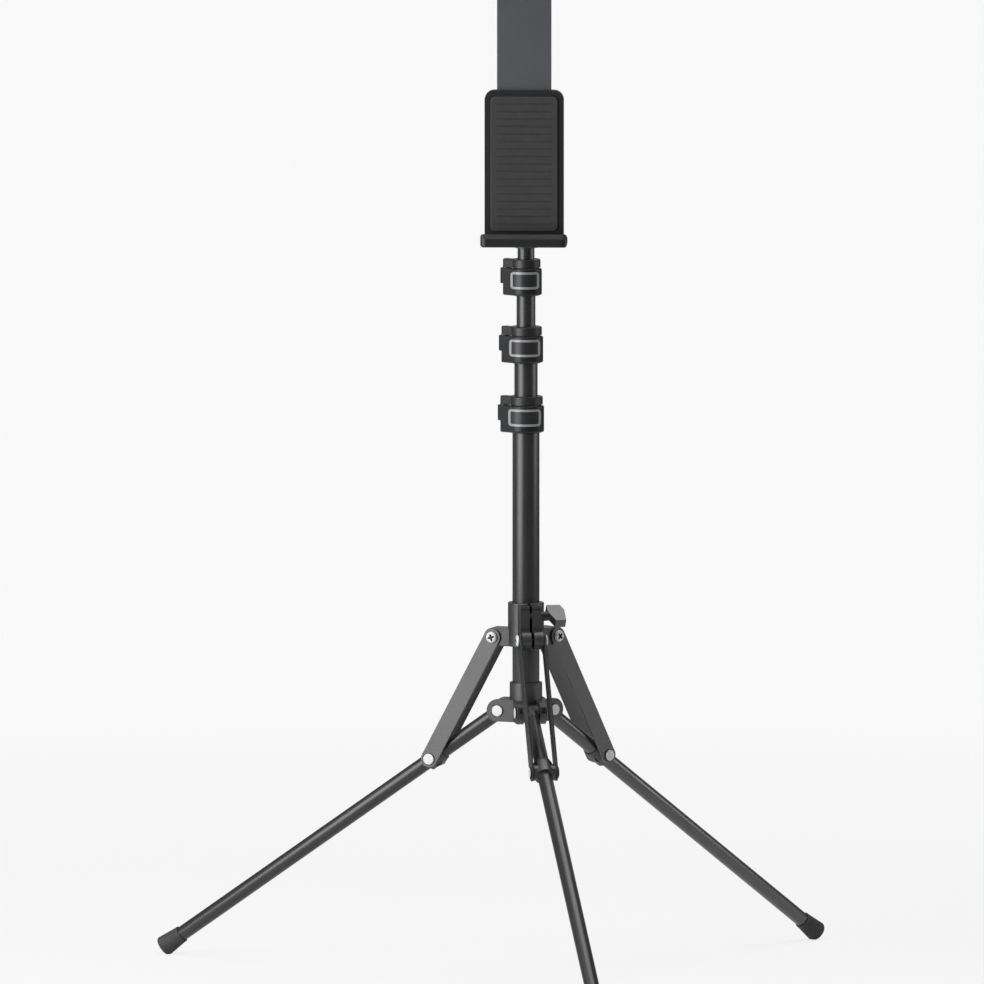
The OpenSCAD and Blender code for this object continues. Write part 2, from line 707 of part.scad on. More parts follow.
module tilt_arm() color("#232427") translate([0, 0, tilt_z]) difference() {
    union() {
        translate([-arm_w / 2, 0, 0]) along_x() cylinder(r = fork_r, h = arm_w);
        translate([-arm_w / 2, -arm_out, -arm_h / 2]) cube([arm_w, arm_out, arm_h]);
        along_y(-1) translate([0, 0, arm_out - swivel_t]) cylinder(d = swivel_d, h = swivel_t);
        along_y(-1) translate([0, 0, arm_out]) cylinder(d = spigot_d, h = spigot_len);
        along_y(-1) translate([0, 0, arm_out]) cylinder(d = nut_bore_d, h = spigot_len + swivel_nut_t);
    }
    translate([-arm_w, 0, 0]) along_x() cylinder(d = tilt_bolt_d + 2 * run_clear, h = 2 * arm_w);
}

module swivel_nut() color("#8d8f93") translate([0, -arm_out - spigot_len, tilt_z]) along_y(-1) {
    pipe(nut_r, nut_bore_d / 2 + fit_clear, swivel_nut_t);
}

module tilt_bolt() color("#8d8f93") translate([0, 0, tilt_z]) along_x() {
    translate([0, 0, -fork_out]) cylinder(d = tilt_bolt_d, h = 2 * fork_out + tilt_knob_h / 2);
}

module tilt_knob() color("#55565a") translate([fork_out + side_clear, 0, tilt_z]) along_x() difference() {
    drum(tilt_knob_d, tilt_knob_h, knob_edge);
    translate([0, 0, -cut_over])
        cylinder(d = tilt_bolt_d + 2 * fit_clear, h = tilt_knob_h / 2 + side_clear + cut_over);
}

// Holder
module holder_back() color("#2b2c2e") difference() {
    union() {
        translate([0, back_y - back_t / 2, shell_mid_z]) upright_plate(back_t)
            rounded_rect(shell_w, shell_h, shell_round);
        translate([0, boss_y, tilt_z]) along_y(-1) cylinder(d = swivel_d, h = boss_h);
        on_thumb_screw() cylinder(d = thumb_d + 2 * thumb_boss_wall, h = back_t + thumb_boss_h);
    }
    translate([0, boss_y + cut_over, tilt_z]) along_y(-1)
        cylinder(d = spigot_d + 2 * fit_clear, h = boss_h + back_t + 2 * cut_over);
    translate([0, split_y - cut_over, tilt_z]) along_y()
        cylinder(r = nut_r + side_clear, h = cut_over + swivel_nut_t + 2 * side_clear);
    on_thumb_screw() translate([0, 0, -cut_over])
        cylinder(d = thumb_d + 2 * run_clear, h = back_t + thumb_boss_h + 2 * cut_over);
}

module on_thumb_screw() {
    translate([0, split_y, jaw_z + shell_h - thumb_drop]) along_y() children();
}

module holder_front() color("#2b2c2e") difference() {
    union() {
        translate([0, split_y - front_t / 2, shell_mid_z]) upright_plate(front_t)
            rounded_rect(shell_w, shell_h, shell_round);
        translate([0, 0, jaw_z]) jaw();
    }
    translate([-slide_w / 2 - slide_room, slide_y - slide_t - slide_room, seat_z + pad_from_jaw])
        cube([slide_w + 2 * slide_room, slide_t + 2 * slide_room + cut_over, shell_h]);
}

// A jaw from its own underside: a seat with a lip in front, sloped on its front edge
module jaw() {
    translate([-jaw_w / 2, 0, 0]) rotate([90, 0, 90]) linear_extrude(height = jaw_w) polygon([[split_y, 0],
        [jaw_y + lip_foot, 0], [jaw_y, lip_foot], [jaw_y, jaw_t + lip_h - lip_chamfer - lip_foot],
        [jaw_y + lip_chamfer, jaw_t + lip_h], [lip_y, jaw_t + lip_h], [lip_y, jaw_t], [split_y, jaw_t]]);
}

module seat_pad() {
    translate([-jaw_w / 2 + pad_inset, lip_y + fit_clear, 0])
        cube([jaw_w - 2 * pad_inset, rest_y - lip_y - 2 * fit_clear, pad_t]);
}

module lower_pad() color("#151516") translate([0, 0, seat_z]) seat_pad();

module back_pad() color("#151516") {
    low = seat_z + pad_from_jaw;
    high = jaw_z + shell_h - pad_from_jaw;
    translate([0, rest_y - pad_t / 2, (low + high) / 2]) upright_plate(pad_t)
        rounded_rect(shell_w - 2 * pad_from_jaw, high - low, shell_round / 2);
}

module slide_plate() color("#8d8f93") {
    translate([-slide_w / 2, slide_y - slide_t, slide_z])
        cube([slide_w, slide_t, top_seat_z + jaw_t / 2 - slide_z]);
}

module upper_jaw() color("#2b2c2e") difference() {
    translate([0, 0, top_seat_z + jaw_t]) mirror([0, 0, 1]) jaw();
    translate([-slide_w / 2 - fit_clear, slide_y - slide_t - fit_clear, top_seat_z - cut_over])
        cube([slide_w + 2 * fit_clear, slide_t + 2 * fit_clear, jaw_t / 2 + cut_over]);
}

module upper_pad() color("#151516") translate([0, 0, top_seat_z - pad_t]) seat_pad();

module thumb_screw() color("#55565a") on_thumb_screw() {
    seat = back_t + thumb_boss_h + side_clear;
    cylinder(d = thumb_d, h = seat + thumb_head_h / 2);
    translate([0, 0, seat]) drum(thumb_head_d, thumb_head_h, knob_edge);
}

leg_hub();
hub_rivets();
mast_tube(1);  // main_tube
for (i = [1 : leg_count]) {
    leg_tube(i);
    leg_knuckle(i);
    leg_foot(i);
    leg_bracket(i);
    brace_bar(i, 1);
    brace_bar(i, -1);
    brace_rivets(i);
}
for (k = [1 : 3]) {
    lock_body(k);
    lock_pin(k);
    lock_lever(k);
    lock_frame(k);
    mast_tube(k + 1);
    bush(k + 1);
}
collar();
collar_screws();
collar_knob();
collar_bolt();
head_base();
tilt_arm();
swivel_nut();
tilt_knob();
tilt_bolt();
holder_back();
holder_front();
back_pad();
lower_pad();
slide_plate();
upper_jaw();
upper_pad();
thumb_screw();
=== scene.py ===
import json
import math

import bmesh
import bpy
from mathutils import Matrix, Vector

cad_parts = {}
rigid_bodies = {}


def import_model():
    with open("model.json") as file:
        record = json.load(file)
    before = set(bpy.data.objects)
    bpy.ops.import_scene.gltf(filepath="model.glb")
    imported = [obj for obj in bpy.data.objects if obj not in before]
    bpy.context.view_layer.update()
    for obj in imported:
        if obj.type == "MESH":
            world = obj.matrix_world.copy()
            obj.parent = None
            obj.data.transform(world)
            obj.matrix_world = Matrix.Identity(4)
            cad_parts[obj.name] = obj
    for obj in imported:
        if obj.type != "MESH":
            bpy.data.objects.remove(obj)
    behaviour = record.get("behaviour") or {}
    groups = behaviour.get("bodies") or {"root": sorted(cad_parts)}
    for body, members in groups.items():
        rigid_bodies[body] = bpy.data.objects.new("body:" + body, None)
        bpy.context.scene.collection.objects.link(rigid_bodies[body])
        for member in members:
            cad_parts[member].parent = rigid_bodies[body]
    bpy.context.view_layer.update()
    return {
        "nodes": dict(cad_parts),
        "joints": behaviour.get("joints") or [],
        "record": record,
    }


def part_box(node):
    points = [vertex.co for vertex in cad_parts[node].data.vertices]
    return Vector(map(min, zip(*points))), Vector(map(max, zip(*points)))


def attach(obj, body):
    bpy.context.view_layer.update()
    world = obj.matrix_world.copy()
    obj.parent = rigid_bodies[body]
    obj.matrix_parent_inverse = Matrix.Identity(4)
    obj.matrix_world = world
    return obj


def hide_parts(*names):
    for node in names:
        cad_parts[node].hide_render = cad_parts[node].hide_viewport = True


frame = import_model()
cad = frame["nodes"]
joints = {j["name"]: j for j in frame["joints"]}
bodyOf = {n: b for b, members in frame["record"]["behaviour"]["bodies"].items() for n in members}
slotOf = {s["node"]: s["material_slot"] for s in frame["record"]["subparts"]}
mm = 0.001
zAxis = Vector((0, 0, 1))


# shader maths: a socket that takes part in Python sums
class Sock:
    def __init__(self, finish, out):
        self.finish, self.out = finish, out

    def calc(self, operation, left, right):
        return self.finish.node("ShaderNodeMath", {"operation": operation}, {0: left, 1: right})

    def __add__(self, other):
        return self.calc("ADD", self, other)

    def __sub__(self, other):
        return self.calc("SUBTRACT", self, other)

    def __rsub__(self, other):
        return self.calc("SUBTRACT", other, self)

    def __mul__(self, other):
        return self.calc("MULTIPLY", self, other)

    __radd__ = __add__

    def blend(self, other, share):  # this one's share, and the other for the rest
        return self * share + other * (1 - share)


# one material, with its nodes made through node()
class Finish:
    def __init__(self, name):
        self.material = bpy.data.materials.new(name)
        self.material.use_nodes = True
        self.tree = self.material.node_tree
        self.shader = self.tree.nodes["Principled BSDF"]
        self.place = self.node("ShaderNodeTexCoord", pick="Object")

    def feed(self, socket, value):
        if isinstance(value, Sock):
            self.tree.links.new(value.out, socket)
        else:
            socket.default_value = value

    def node(self, kind, settings=None, values=None, pick=0):
        made = self.tree.nodes.new(kind)
        for key, value in (settings or {}).items():
            if key == "stops":
                for stop, (at, tone) in zip(made.color_ramp.elements, value):
                    stop.position, stop.color = at, (tone, tone, tone, 1)
            else:
                setattr(made, key, value)
        for key, value in (values or {}).items():
            self.feed(made.inputs[key], value)
        return Sock(self, made.outputs[pick])

    def noise(self, scale, detail=2.0, along=None):
        return self.node("ShaderNodeTexNoise", None,
                         {"Vector": along or self.place, "Scale": scale, "Detail": detail})

    def ramp(self, value, low, high):
        return self.node("ShaderNodeValToRGB", {"stops": [(low, 0.0), (high, 1.0)]}, {0: value})

    def mix(self, share, low, high):
        return self.node("ShaderNodeMix", {"data_type": "RGBA"},
                         {0: share, 6: (*low, 1) if isinstance(low, tuple) else low,
                          7: (*high, 1) if isinstance(high, tuple) else high}, pick=2)

    def mark(self, name):  # a piece's own attribute, from 0 to 1
        return self.node("ShaderNodeAttribute", {"attribute_name": name}, pick="Fac")

    def bump(self, height, strength, relief):  # relief in mm
        return self.node("ShaderNodeBump", None,
                         {"Strength": strength, "Distance": relief * mm, "Height": height})

    def surface(self, **values):
        for key, value in values.items():
            name = {"colour": "Base Color", "rough": "Roughness", "metal": "Metallic", "normal": "Normal",
                    "shine": "Specular IOR Level"}[key]
            self.feed(self.shader.inputs[name], (*value, 1) if isinstance(value, tuple) else value)
        return self.material


# black anodised tube: faint drawing lines along it, fine grain, a little dust, and lighter edges that are
# partly wear and partly painted highlight
tubeLook = {"dark": (0.006, 0.0063, 0.0068), "light": (0.013, 0.0134, 0.0143), "worn": (0.09, 0.09, 0.094),
            "wear": 0.6, "lines": 1500.0, "stretch": 60.0, "grain": 5200.0, "haze": 35.0,
            "lineShare": 0.6, "grainShare": 0.6, "rough": 0.26, "lineRough": 0.10, "hazeRough": 0.08,
            "shine": 0.50, "bump": 0.02, "relief": 0.06}


def tubeCoat(name, turn=(0, 0, 0), shine=tubeLook["shine"]):
    look = tubeLook
    f = Finish(name)
    long = f.node("ShaderNodeMapping", {"vector_type": "TEXTURE"},
                  {"Vector": f.place, "Rotation": turn, "Scale": (1, 1, look["stretch"])})
    lines = f.noise(look["lines"], 3.0, long)
    grain = f.noise(look["grain"])
    haze = f.noise(look["haze"], 3.0)
    tone = f.mix(lines.blend(haze, look["lineShare"]), look["dark"], look["light"])
    # lighter edges: partly wear, partly painted highlight
    return f.surface(colour=f.mix(f.mark("edge") * look["wear"], tone, look["worn"]),
                     rough=look["rough"] + lines * look["lineRough"] + haze * look["hazeRough"],
                     shine=shine,
                     normal=f.bump(grain.blend(lines, look["grainShare"]), look["bump"], look["relief"]))


# moulded black: spark-eroded grain, a lighter tone on edges that is partly wear and partly painted
# highlight, faint flow marks
mouldLook = {"cells": 1800.0, "smooth": 0.6, "fine": 9000.0, "flow": 60.0, "flowShare": 0.7,
             "cellShare": 0.7, "wear": 0.18, "wornGain": 2.6, "wornLift": 0.012, "grainRough": 0.14,
             "flowRough": 0.08, "smoother": 0.11, "depth": 0.3, "shine": 0.5, "relief": 0.12}


def moulded(name, dark, light, rough, depth=mouldLook["depth"], shine=mouldLook["shine"]):
    look = mouldLook
    f = Finish(name)
    cells = f.node("ShaderNodeTexVoronoi", {"feature": "SMOOTH_F1"},
                   {"Vector": f.place, "Scale": look["cells"], "Smoothness": look["smooth"]})
    grain = f.noise(look["fine"])
    flow = f.noise(look["flow"], 3.0)
    tone = f.mix(flow.blend(grain, look["flowShare"]), dark, light)
    # lighter edges: partly wear, partly painted highlight
    worn = tuple(min(1, c * look["wornGain"] + look["wornLift"]) for c in light)
    return f.surface(colour=f.mix(f.mark("edge") * look["wear"], tone, worn),
                     rough=rough + grain * look["grainRough"] + flow * look["flowRough"] - look["smoother"],
                     shine=shine,
                     normal=f.bump(cells.blend(grain, look["cellShare"]), depth, look["relief"]))


# powder-coated bars and bolts: orange peel, a thinner and darker coat at the rim
powderLook = {"peel": 1100.0, "speck": 6500.0, "cloud": 45.0, "cloudShare": 0.6, "peelShare": 0.8,
              "rim": 0.5, "rimTone": 0.4, "rough": 0.42, "peelRough": 0.12, "cloudRough": 0.06,
              "shine": 0.62, "bump": 0.22, "relief": 0.12}


def powderCoat(name, dark, light, shine=powderLook["shine"]):
    look = powderLook
    f = Finish(name)
    peel = f.noise(look["peel"], 1.0)
    speck = f.noise(look["speck"], 1.0)
    cloud = f.noise(look["cloud"], 3.0)
    tone = f.mix(cloud.blend(speck, look["cloudShare"]), dark, light)
    rim = tuple(c * look["rimTone"] for c in dark)
    return f.surface(colour=f.mix(f.mark("edge") * look["rim"], tone, rim),
                     rough=look["rough"] + peel * look["peelRough"] - cloud * look["cloudRough"],
                     shine=shine,
                     normal=f.bump(peel.blend(speck, look["peelShare"]), look["bump"], look["relief"]))


# bright steel: a broken grain with a few dull spots, and painted shade in a screw's recess and on a rivet's
# rim
steelLook = {"tone": (0.54, 0.54, 0.545), "rough": 0.62, "metal": 0.45, "grain": 4200.0, "spots": 420.0,
             "spotEnds": (0.55, 0.75), "spotShare": 0.25, "spotTone": 0.7, "grime": (0.02, 0.02, 0.021),
             "grainRough": 0.14, "spotRough": 0.12, "smoother": 0.05, "bump": 0.03, "relief": 0.05}


def brightSteel(name, tone=steelLook["tone"], rough=steelLook["rough"], metal=steelLook["metal"]):
    look = steelLook
    f = Finish(name)
    grain = f.noise(look["grain"], 4.0)
    spots = f.ramp(f.noise(look["spots"], 3.0), *look["spotEnds"])
    clean = f.mix(spots * look["spotShare"], tone, tuple(c * look["spotTone"] for c in tone))
    # painted shade: the marked faces of screw recesses and rivet rims take the dark tone
    return f.surface(colour=f.mix(f.mark("recess"), clean, look["grime"]),
                     metal=metal,
                     rough=rough + grain * look["grainRough"] + spots * look["spotRough"] - look["smoother"],
                     normal=f.bump(grain, look["bump"], look["relief"]))


# rubber: fine grain, paler edges, and dust in patches
rubberLook = {"grain": 3800.0, "dust": 140.0, "dustEnds": (0.45, 0.8), "dustTone": (0.13, 0.13, 0.128),
              "wear": 0.4, "grainRough": 0.14, "dustRough": 0.06, "bump": 0.2, "relief": 0.15}


def rubber(name, dark, light, rough, shine, dusty):
    look = rubberLook
    f = Finish(name)
    grain = f.noise(look["grain"], 3.0)
    dust = f.ramp(f.noise(look["dust"], 4.0), *look["dustEnds"])
    pale = f.mark("edge") * look["wear"] + dust * dusty
    return f.surface(colour=f.mix(pale, f.mix(grain, dark, light), look["dustTone"]),
                     rough=rough + grain * look["grainRough"] + dust * look["dustRough"],
                     shine=shine,
                     normal=f.bump(grain, look["bump"], look["relief"]))


# natural nylon: cloudy cream with a soft grain
nylonLook = {"dark": (0.50, 0.48, 0.42), "light": (0.64, 0.62, 0.56), "grain": 2600.0, "cloud": 90.0,
             "rough": 0.42, "grainRough": 0.12, "bump": 0.15, "relief": 0.1}


def nylon(name):
    look = nylonLook
    f = Finish(name)
    grain = f.noise(look["grain"])
    cloud = f.noise(look["cloud"], 3.0)
    return f.surface(colour=f.mix(cloud, look["dark"], look["light"]),
                     rough=look["rough"] + grain * look["grainRough"],
                     normal=f.bump(grain, look["bump"], look["relief"]))


# a finish for each material slot: darkest and lightest tone, then roughness and the like
looks = {
    "tube_coat": tubeCoat("mastCoat"),
    "brace_steel": powderCoat("braceCoat", (0.024, 0.0244, 0.026), (0.038, 0.0385, 0.0405), shine=0.92),
    "black_plastic": moulded("mouldedBlack", (0.010, 0.0104, 0.0112), (0.019, 0.0195, 0.0207), 0.44,
                             shine=0.68),
    "lever_plastic": moulded("leverGloss", (0.008, 0.0084, 0.0092), (0.014, 0.0145, 0.0158), 0.36,
                             depth=0.12, shine=0.24),
    "grey_plastic": moulded("knobGrey", (0.050, 0.0505, 0.053), (0.075, 0.076, 0.079), 0.44, shine=0.6),
    "bright_steel": brightSteel("rivetSteel"),
    "frame_trim": brightSteel("frameTrim", (0.22, 0.22, 0.225), rough=0.42, metal=0.2),
    "rubber": rubber("footRubber", (0.022, 0.022, 0.023), (0.042, 0.042, 0.043), 0.60,
                     shine=0.25, dusty=0.10),
    "nylon": nylon("bushNylon"),
    "plate_steel": powderCoat("slidePlateCoat", (0.045, 0.046, 0.049), (0.070, 0.071, 0.075)),
}
# finishes of single pieces
panelGrey = moulded("leverPanel", (0.013, 0.0135, 0.0148), (0.019, 0.0195, 0.021), 0.38,
                    depth=0.1, shine=0.32)
knobBlack = moulded("knobBlack", (0.020, 0.0205, 0.0215), (0.031, 0.0315, 0.033), 0.38,
                    depth=0.25, shine=0.72)
padRubber = rubber("padRubber", (0.016, 0.016, 0.017), (0.028, 0.028, 0.029), 0.72,
                   shine=0.35, dusty=0.06)
boltSteel = powderCoat("boltBlack", (0.012, 0.0122, 0.013), (0.022, 0.0223, 0.0235))
# a darker copy of the brace coat: painted shade for brace bars that lie in shade
shadowedBarCoat = powderCoat("braceShadeCoat", (0.010, 0.0102, 0.0108), (0.017, 0.0172, 0.018), shine=0.40)
lockBlack = moulded("lockBlack", (0.008, 0.0084, 0.0092), (0.015, 0.0154, 0.0165), 0.42, shine=0.40)
holderBlack = moulded("holderBlack", (0.007, 0.0073, 0.008), (0.013, 0.0134, 0.0143), 0.44, shine=0.32)
print("finishes:", len(looks))


def addObject(name, mesh):
    obj = bpy.data.objects.new(name, mesh)
    bpy.context.scene.collection.objects.link(obj)
    return obj


def baked(obj, name):  # the evaluated result as a plain mesh, without the modifiers
    bpy.context.view_layer.update()
    mesh = bpy.data.meshes.new_from_object(obj.evaluated_get(bpy.context.evaluated_depsgraph_get()))
    bpy.data.objects.remove(obj)
    mesh.name = name
    return addObject(name, mesh)


def markEdges(mesh, low=12.0, high=34.0):  # point attribute: how sharply the surface turns, in degrees
    bm = bmesh.new()
    bm.from_mesh(mesh)
    turn = [max((math.degrees(e.calc_face_angle(0.0)) for e in v.link_edges), default=0.0) for v in bm.verts]
    bm.free()
    wear = mesh.attributes.get("edge") or mesh.attributes.new("edge", "FLOAT", "POINT")
    wear.data.foreach_set("value", [min(1.0, max(0.0, (t - low) / (high - low))) for t in turn])


def dress(obj, body, nodes, look=None):
    if look:
        obj.data.materials.clear()
        obj.data.materials.append(look)
    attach(obj, body)
    if nodes:
        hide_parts(*nodes)
    return obj


def camelName(node):
    first, *rest = node.split("_")
    return first + "".join(word.capitalize() for word in rest)


# easing of edges: lengths in mm, flat and bevelAngle in degrees, fold in radians, the next two as cosines
easeShape = {"merge": 0.002, "level": 0.02, "flat": 0.6, "bevelAngle": 32.0, "fold": 0.7, "upright": 0.5,
             "outward": 0.2, "wideSteps": 4, "bevelSteps": 3, "normalWeight": 60}


def onRim(at, low, high, reach):  # at the top or bottom of a node, and further than reach from the mast
    level = min(at.z - low.z, high.z - at.z) < easeShape["level"] * mm
    return level and math.hypot(at.x, at.y) > reach * mm


def facesOut(edge):  # the edge's upright face looks away from the mast
    at = (edge.verts[0].co + edge.verts[1].co) / 2
    least = easeShape["outward"] * math.hypot(at.x, at.y)
    return any(abs(f.normal.z) < easeShape["upright"] and f.normal.x * at.x + f.normal.y * at.y > least
               for f in edge.link_faces)


# a CAD node with its edges eased, as moulded and pressed pieces have; wide rounds its outer rims further
def eased(node, edge, look=None, wide=None, work=None):
    mesh = cad[node].data.copy()
    bm = bmesh.new()
    bm.from_mesh(mesh)
    bmesh.ops.remove_doubles(bm, verts=bm.verts, dist=easeShape["merge"] * mm)
    bmesh.ops.dissolve_limit(bm, angle_limit=math.radians(easeShape["flat"]), verts=bm.verts, edges=bm.edges)
    bmesh.ops.recalc_face_normals(bm, faces=bm.faces)
    if work:
        work(bm, node)
    if wide:
        low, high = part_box(node)
        rim = [e for e in bm.edges if e.calc_face_angle(0.0) > easeShape["fold"] and facesOut(e)
               and all(onRim(v.co, low, high, wide["from"]) for v in e.verts)]
        bmesh.ops.bevel(bm, geom=rim, offset=wide["round"] * mm, offset_type="OFFSET", profile=0.5,
                        segments=easeShape["wideSteps"], affect="EDGES", clamp_overlap=False,
                        loop_slide=False)
    for face in bm.faces:
        face.smooth = True
    bm.to_mesh(mesh)
    bm.free()
    obj = addObject(node + "Work", mesh)
    bevel = obj.modifiers.new("edge", "BEVEL")
    bevel.width, bevel.segments = edge * mm, easeShape["bevelSteps"]
    bevel.limit_method, bevel.angle_limit = "ANGLE", math.radians(easeShape["bevelAngle"])
    bevel.use_clamp_overlap, bevel.miter_outer = True, "MITER_ARC"
    weight = obj.modifiers.new("normals", "WEIGHTED_NORMAL")
    weight.weight, weight.keep_sharp = easeShape["normalWeight"], True
    obj = baked(obj, camelName(node))
    markEdges(obj.data)
    return dress(obj, bodyOf[node], [node], look or looks[slotOf[node]])


# geometry nodes helpers
class Tree:
    def __init__(self, name):
        self.tree = bpy.data.node_groups.new(name, "GeometryNodeTree")
        self.ids = {}
        self.entry = self.tree.nodes.new("NodeGroupInput")
        self.exit = self.tree.nodes.new("NodeGroupOutput")
        self.tree.interface.new_socket("Geometry", in_out="OUTPUT", socket_type="NodeSocketGeometry")
        self.seed = self.given("Seed", "Geometry")  # the piece's own mesh comes in first

    def given(self, name, kind):
        made = self.tree.interface.new_socket(name, in_out="INPUT", socket_type="NodeSocket" + kind)
        self.ids[name] = made.identifier
        return self.entry.outputs[name]

    def node(self, kind, settings=None, values=None, pick=0):
        made = self.tree.nodes.new(kind)
        for key, value in (settings or {}).items():
            setattr(made, key, value)
        for key, value in (values or {}).items():
            if isinstance(value, bpy.types.NodeSocket):
                self.tree.links.new(value, made.inputs[key])
            else:
                made.inputs[key].default_value = value
        return made.outputs[pick]

    def close(self, geometry):
        real = self.node("GeometryNodeRealizeInstances", None, {0: geometry})
        painted = self.node("GeometryNodeSetMaterial", None,
                            {"Geometry": real, "Material": self.given("Material", "Material")})
        self.tree.links.new(painted, self.exit.inputs[0])

    def make(self, name, mesh=None, **values):
        obj = addObject(name + "Work", mesh or bpy.data.meshes.new(name + "Seed"))
        modifier = obj.modifiers.new("nodes", "NODES")
        modifier.node_group = self.tree
        for key, value in values.items():
            modifier[self.ids[key]] = value
        obj = baked(obj, name)
        bm = bmesh.new()
        bm.from_mesh(obj.data)
        bmesh.ops.remove_doubles(bm, verts=bm.verts, dist=easeShape["merge"] * mm)
        bmesh.ops.recalc_face_normals(bm, faces=bm.faces)
        for face in bm.faces:
            face.smooth = True
        bm.to_mesh(obj.data)
        bm.free()
        return obj


# a wall swept round a circle: tubes, with their lips rounded over; sizes in mm, sharp in degrees
tubeShape = {"sides": 96, "wall": 0.7, "legWall": 1.0, "lip": 0.22, "lipSteps": 3, "sharp": 40.0}
sweep = Tree("sweptWall")
ring = sweep.node("GeometryNodeCurvePrimitiveCircle", {"mode": "RADIUS"},
                  {"Resolution": sweep.given("Sides", "Int"), "Radius": sweep.given("Radius", "Float")})
ring = sweep.node("GeometryNodeSetCurveNormal", {"mode": "Z_UP"}, {0: ring})
wall = sweep.node("GeometryNodeCurvePrimitiveQuadrilateral", {"mode": "RECTANGLE"},
                  {"Width": sweep.given("Wall", "Float"), "Height": sweep.given("Length", "Float")})
wall = sweep.node("GeometryNodeFilletCurve", {"mode": "POLY"},
                  {"Curve": wall, "Count": tubeShape["lipSteps"], "Radius": sweep.given("Lip", "Float")})
sweep.close(sweep.node("GeometryNodeCurveToMesh", None, {"Curve": ring, "Profile Curve": wall}))


def tubePiece(node, start, axis, length, outer, wall, look):  # outer radius and wall in mm
    obj = sweep.make(camelName(node), Sides=tubeShape["sides"], Radius=(outer - wall / 2) * mm,
                     Wall=wall * mm, Length=length, Lip=tubeShape["lip"] * mm, Material=look)
    turn = zAxis.rotation_difference(axis).to_matrix().to_4x4()
    obj.data.transform(Matrix.Translation(start + axis * length / 2) @ turn)
    obj.data.set_sharp_from_angle(angle=math.radians(tubeShape["sharp"]))
    markEdges(obj.data)
    return dress(obj, bodyOf[node], [node])


for node in ("main_tube", "tube_2", "tube_3", "tube_4"):
    low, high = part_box(node)
    tubePiece(node, Vector((0, 0, low.z)), zAxis, high.z - low.z, (high.x - low.x) / 2 / mm,
              tubeShape["wall"], looks["tube_coat"])

# legs: spread in degrees below the horizon, places along a leg and outer radius in mm, each leg's shine
legShape = {"spread": 35.1, "start": 9.0, "length": 360.0, "sole": 6.0, "outer": 6.0, "brace": 73.0,
            "shine": {1: 0.50, 2: 0.90, 3: 0.50}}
legAxis = {}
for i in (1, 2, 3):
    hinge = joints[f"leg_{i}_fold"]
    out = Vector(hinge["axis"]).cross(zAxis) * -1  # hinge axis to the leg's own outward direction
    spread = math.radians(legShape["spread"])
    legAxis[i] = (Vector(hinge["pos_m"]), out * math.cos(spread) - zAxis * math.sin(spread))
    start, axis = legAxis[i]
    turn = zAxis.rotation_difference(axis).to_euler()
    tubePiece(f"leg_{i}_tube", start + axis * legShape["start"] * mm, axis,
              (legShape["length"] - legShape["sole"] - legShape["start"]) * mm, legShape["outer"],
              tubeShape["legWall"], tubeCoat(f"legCoat{i}", turn, legShape["shine"][i]))
print("tubes swept")

# domed heads on points: rivets and screws
heads = Tree("headsOnPoints")
aim = heads.node("GeometryNodeInputNamedAttribute", {"data_type": "FLOAT_VECTOR"}, {"Name": "aim"})
turned = heads.node("FunctionNodeAlignRotationToVector", {"axis": "Z"}, {"Vector": aim})
head = heads.node("GeometryNodeObjectInfo", None, {"Object": heads.given("Head", "Object")}, pick="Geometry")
heads.close(heads.node("GeometryNodeInstanceOnPoints", None,
                       {"Points": heads.seed, "Instance": head, "Rotation": turned}))

latheShape = {"sides": 48, "merge": 0.0001}


def lathe(name, profile):  # profile in mm from the axis outwards, spun about Z
    sides = latheShape["sides"]
    bm = bmesh.new()
    rings = []
    for k in range(sides):
        a = 2 * math.pi * k / sides
        rings.append([bm.verts.new((r * mm * math.cos(a), r * mm * math.sin(a), z * mm))
                      for r, z in profile])
    for k in range(sides):
        here, there = rings[k], rings[(k + 1) % sides]
        for j in range(len(profile) - 1):
            bm.faces.new((here[j], there[j], there[j + 1], here[j + 1]))
    bmesh.ops.remove_doubles(bm, verts=bm.verts, dist=latheShape["merge"] * mm)
    bmesh.ops.recalc_face_normals(bm, faces=bm.faces)
    mesh = bpy.data.meshes.new(name)
    bm.to_mesh(mesh)
    bm.free()
    return addObject(name, mesh)


# sizes in mm; the top share of a rivet's rounding keeps the steel's tone, and its rim below that is painted
# dark as shade
rivetShape = {"radius": 4.75, "height": 1.4, "shank": 2.5, "hubShank": 5.4, "braceShank": 1.45, "seat": 0.2,
              "round": 0.7, "steps": 6, "crown": 0.12, "rimShare": 0.12}
screwShape = {"radius": 4.6, "height": 2.2, "shank": 2.0, "shankLength": 2.0, "cross": 5.6, "slot": 1.7,
              "depth": 1.2}
# a screw's dome: points as mm in from its rim and a share of its height
domeShape = {"seat": 0.25, "points": ((0.0, 0.45), (0.35, 0.72), (1.1, 0.94), (1.9, 1.0))}
# a cross recess: shares of its width at floor and mouth; in mm, its cutter's way past the head and a skin
crossShape = {"floor": 0.8, "mouth": 1.15, "past": 1.0, "skin": 0.05}


def shankPoints(radius, length):
    return [(0.0, -length), (radius, -length), (radius, 0.0)]


def rivetHead(shankLength):  # seat at z 0, a nearly flat crown with a rounded rim, shank below
    r, h, soft = rivetShape["radius"], rivetShape["height"], rivetShape["round"]
    crown, seat, steps = rivetShape["crown"], rivetShape["seat"], rivetShape["steps"]
    turns = [math.pi / 2 * k / steps for k in range(steps + 1)]
    rim = [(r - soft + soft * math.cos(t), h - crown - soft + soft * math.sin(t)) for t in turns]
    top = [((r - soft) / 2, h - crown / 4), (0.0, h)]
    return shankPoints(rivetShape["shank"], shankLength) + [(r - seat, 0.0), (r, seat)] + rim + top


